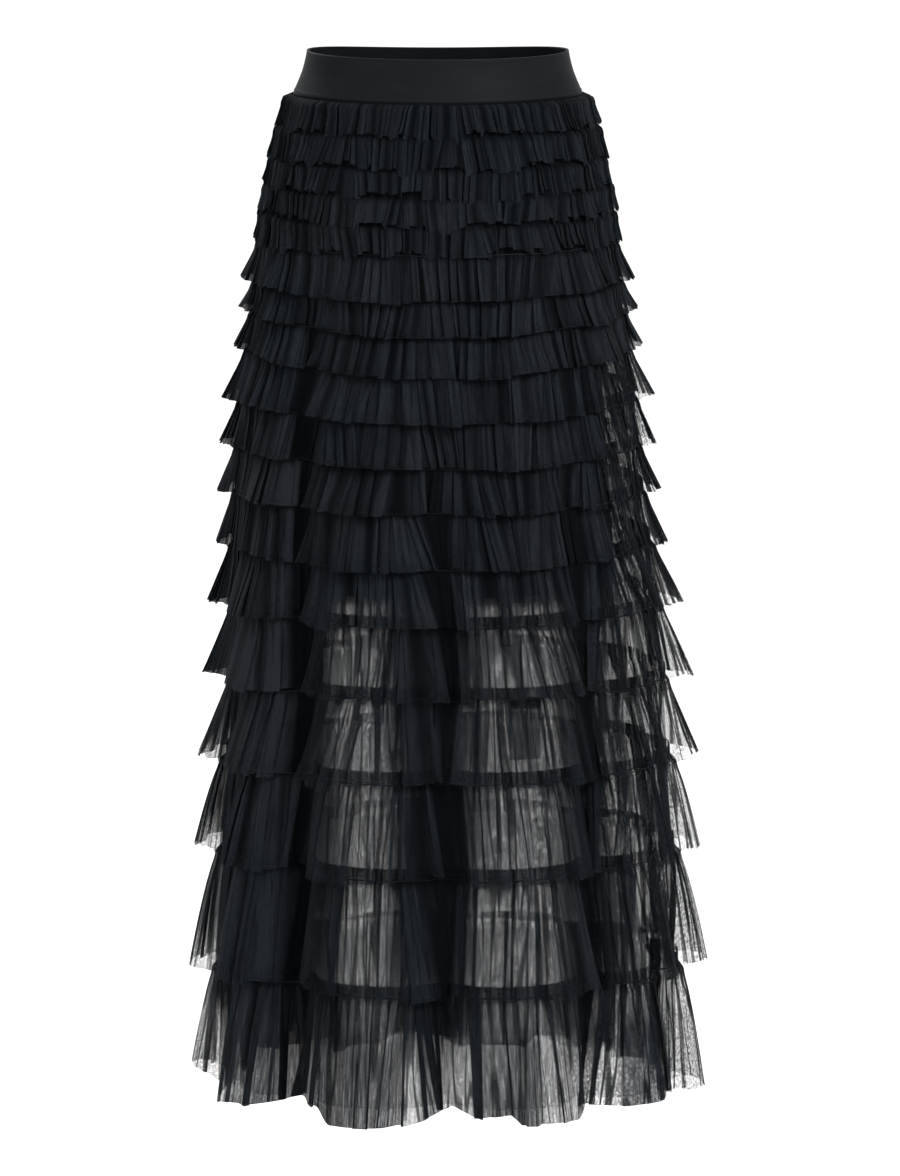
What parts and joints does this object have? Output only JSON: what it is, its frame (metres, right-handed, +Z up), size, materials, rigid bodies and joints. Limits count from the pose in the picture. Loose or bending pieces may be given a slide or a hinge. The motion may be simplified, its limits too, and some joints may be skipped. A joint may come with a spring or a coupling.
{
  "type": "maxi skirt",
  "caption": "Ankle-length sheer net skirt with a wide elastic waistband, gathered ruffle tiers from waist to hem and a short lining, hollow and held at the waist.",
  "frame": {"origin": "centre of the waist opening, halfway up the waistband", "axes": "+Z up, -Y the front of the skirt, +X to the right of someone who looks at its front"},
  "size_m": [0.4652, 0.3471, 0.935],
  "materials": {
    "waistband_elastic": "soft satin elastic, black",
    "net": "fine soft net, black, sheer in one layer",
    "lining_cloth": "plain smooth lining, black, opaque",
    "tab_cloth": "thin plain ribbon, black, half sheer, blank"
  },
  "bodies": {
    "root": {"waistband": "waistband_elastic", "base_skirt": "net", "lining": "lining_cloth", "ruffle_01": "net", "ruffle_02": "net", "ruffle_03": "net", "ruffle_04": "net", "ruffle_05": "net", "ruffle_06": "net", "ruffle_07": "net", "ruffle_08": "net", "ruffle_09": "net", "ruffle_10": "net", "ruffle_11": "net", "ruffle_12": "net", "ruffle_13": "net", "ruffle_14": "net", "ruffle_15": "net", "ruffle_16": "net", "ruffle_17": "net", "ruffle_18": "net", "inner_tab": "tab_cloth"}
  },
  "joints": []
}
